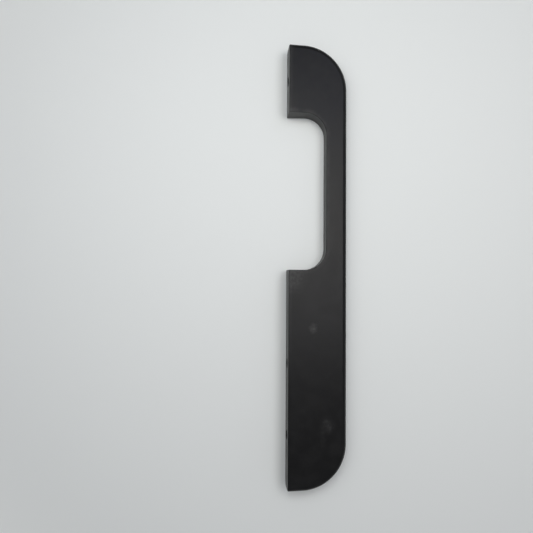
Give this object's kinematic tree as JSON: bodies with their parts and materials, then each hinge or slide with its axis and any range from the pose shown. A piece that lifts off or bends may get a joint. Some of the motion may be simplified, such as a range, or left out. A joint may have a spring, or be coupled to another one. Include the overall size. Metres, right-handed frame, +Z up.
{
  "type": "cabinet door handle",
  "caption": "One-piece matt black cabinet door handle with a tapered bar, rounded ends, a finger gap open to the mounting face and tapped holes for screws.",
  "frame": {"origin": "on the surface that the handle lies on, under the middle of its bounding box", "axes": "+X from the mounting face to the front of the grip, +Y along the bar towards the short leg, +Z up. The handle lies flat on one tapered side, so its mounting face leans back by the side's taper."},
  "size_m": [0.0272, 0.2, 0.0104],
  "materials": {
    "matt_black_coat": "matt"
  },
  "bodies": {
    "root": {"door_handle": "matt_black_coat"}
  },
  "joints": []
}
